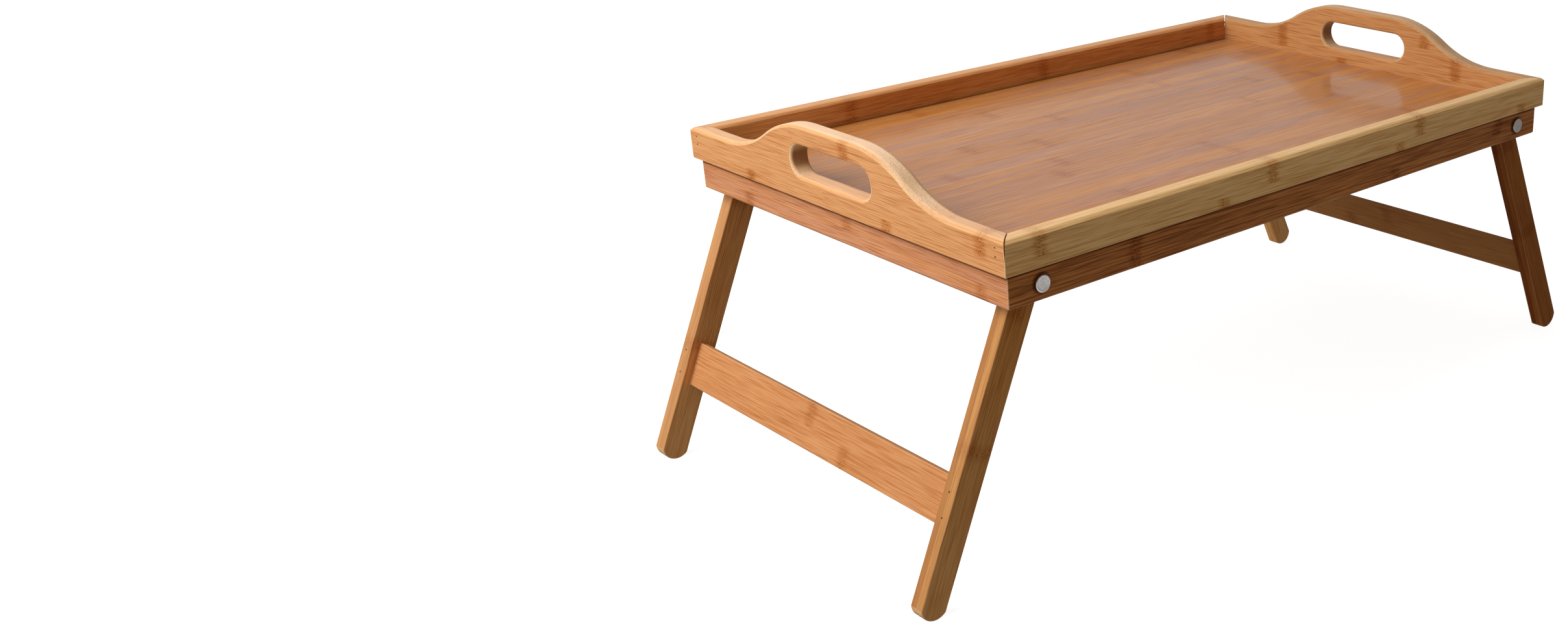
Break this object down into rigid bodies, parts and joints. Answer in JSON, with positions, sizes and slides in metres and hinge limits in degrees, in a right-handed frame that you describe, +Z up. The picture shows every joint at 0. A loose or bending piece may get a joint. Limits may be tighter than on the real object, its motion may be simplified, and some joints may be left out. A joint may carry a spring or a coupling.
{
  "type": "folding tray table",
  "caption": "Low bamboo bed tray with arched end handles, a rimmed panel and leg frames that fold flat under it.",
  "frame": {"origin": "on the floor under the middle of the tray, legs open", "axes": "+X along the tray towards the right handle, +Y to the back, +Z up"},
  "size_m": [0.6196, 0.325, 0.2406],
  "materials": {
    "bamboo_rail": "satin varnished caramel bamboo",
    "bamboo_end": "satin varnished caramel bamboo",
    "bamboo_panel": "glossy varnished bamboo ply",
    "bamboo_skirt": "satin varnished caramel bamboo",
    "bamboo_leg": "satin varnished caramel bamboo, two plies",
    "bamboo_stretcher": "satin varnished caramel bamboo",
    "nickel": "nickel plated, lightly brushed",
    "washer_steel": "zinc plated",
    "brad_steel": "dark, sunk below the surface"
  },
  "bodies": {
    "tray": {"front_rail": "bamboo_rail", "back_rail": "bamboo_rail", "left_end_board": "bamboo_end", "right_end_board": "bamboo_end", "tray_panel": "bamboo_panel", "corner_brads": "brad_steel", "front_skirt": "bamboo_skirt", "back_skirt": "bamboo_skirt", "left_skirt": "bamboo_skirt", "right_skirt": "bamboo_skirt", "pivot_bolts": "nickel", "pivot_washers": "washer_steel", "cap_nuts": "nickel"},
    "left_leg_frame": {"left_front_leg": "bamboo_leg", "left_back_leg": "bamboo_leg", "left_stretcher": "bamboo_stretcher", "left_tenon_pins": "brad_steel"},
    "right_leg_frame": {"right_front_leg": "bamboo_leg", "right_back_leg": "bamboo_leg", "right_stretcher": "bamboo_stretcher", "right_tenon_pins": "brad_steel"}
  },
  "joints": [
    {"name": "left_leg_fold", "type": "hinge", "parent": "tray", "child": "left_leg_frame", "pos_m": [-0.22272, 0, 0.1832], "axis": [0, -1, 0], "range_deg": [0, 114]},
    {"name": "right_leg_fold", "type": "hinge", "parent": "tray", "child": "right_leg_frame", "pos_m": [0.22272, 0, 0.1832], "axis": [0, 1, 0], "range_deg": [0, 114]}
  ]
}
